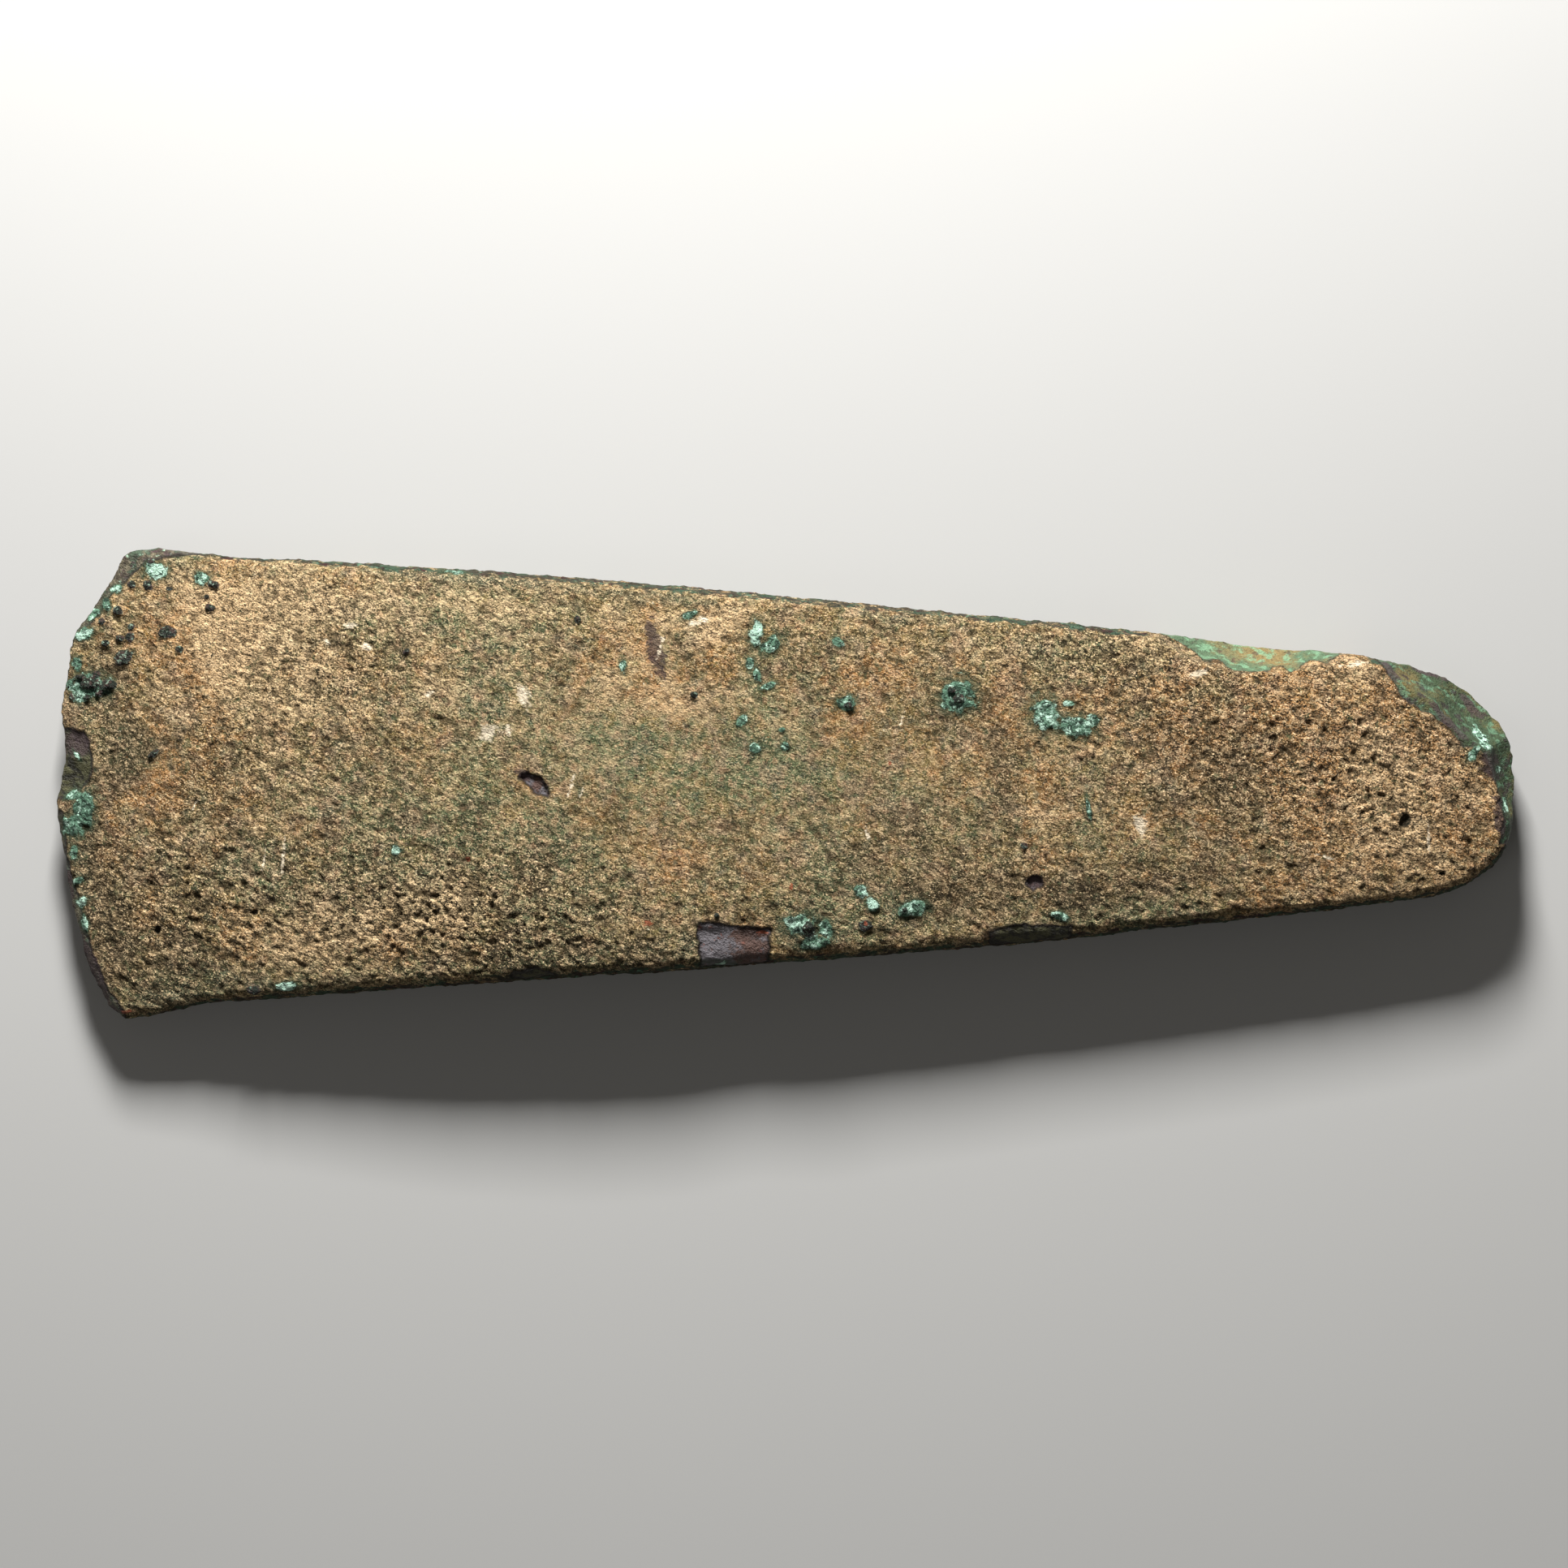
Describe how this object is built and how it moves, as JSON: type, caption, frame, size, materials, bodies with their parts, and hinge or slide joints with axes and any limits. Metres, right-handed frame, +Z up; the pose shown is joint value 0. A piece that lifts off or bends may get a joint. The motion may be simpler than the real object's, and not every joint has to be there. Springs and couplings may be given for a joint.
{
  "type": "flat axe head",
  "caption": "Ancient cast copper flat axe head with a bowed cutting edge, straight tapering sides and a round butt broken at one corner, under a hard earthy crust.",
  "frame": {"origin": "middle of the footprint's bounding box, on the surface the head lies on", "axes": "+X along the head from the cutting edge to the butt, +Y across the blade, +Z up out of the upper broad face"},
  "size_m": [0.1598, 0.0516, 0.011],
  "materials": {
    "crusted_copper": "matte"
  },
  "bodies": {
    "root": {"axe_head": "crusted_copper"}
  },
  "joints": []
}
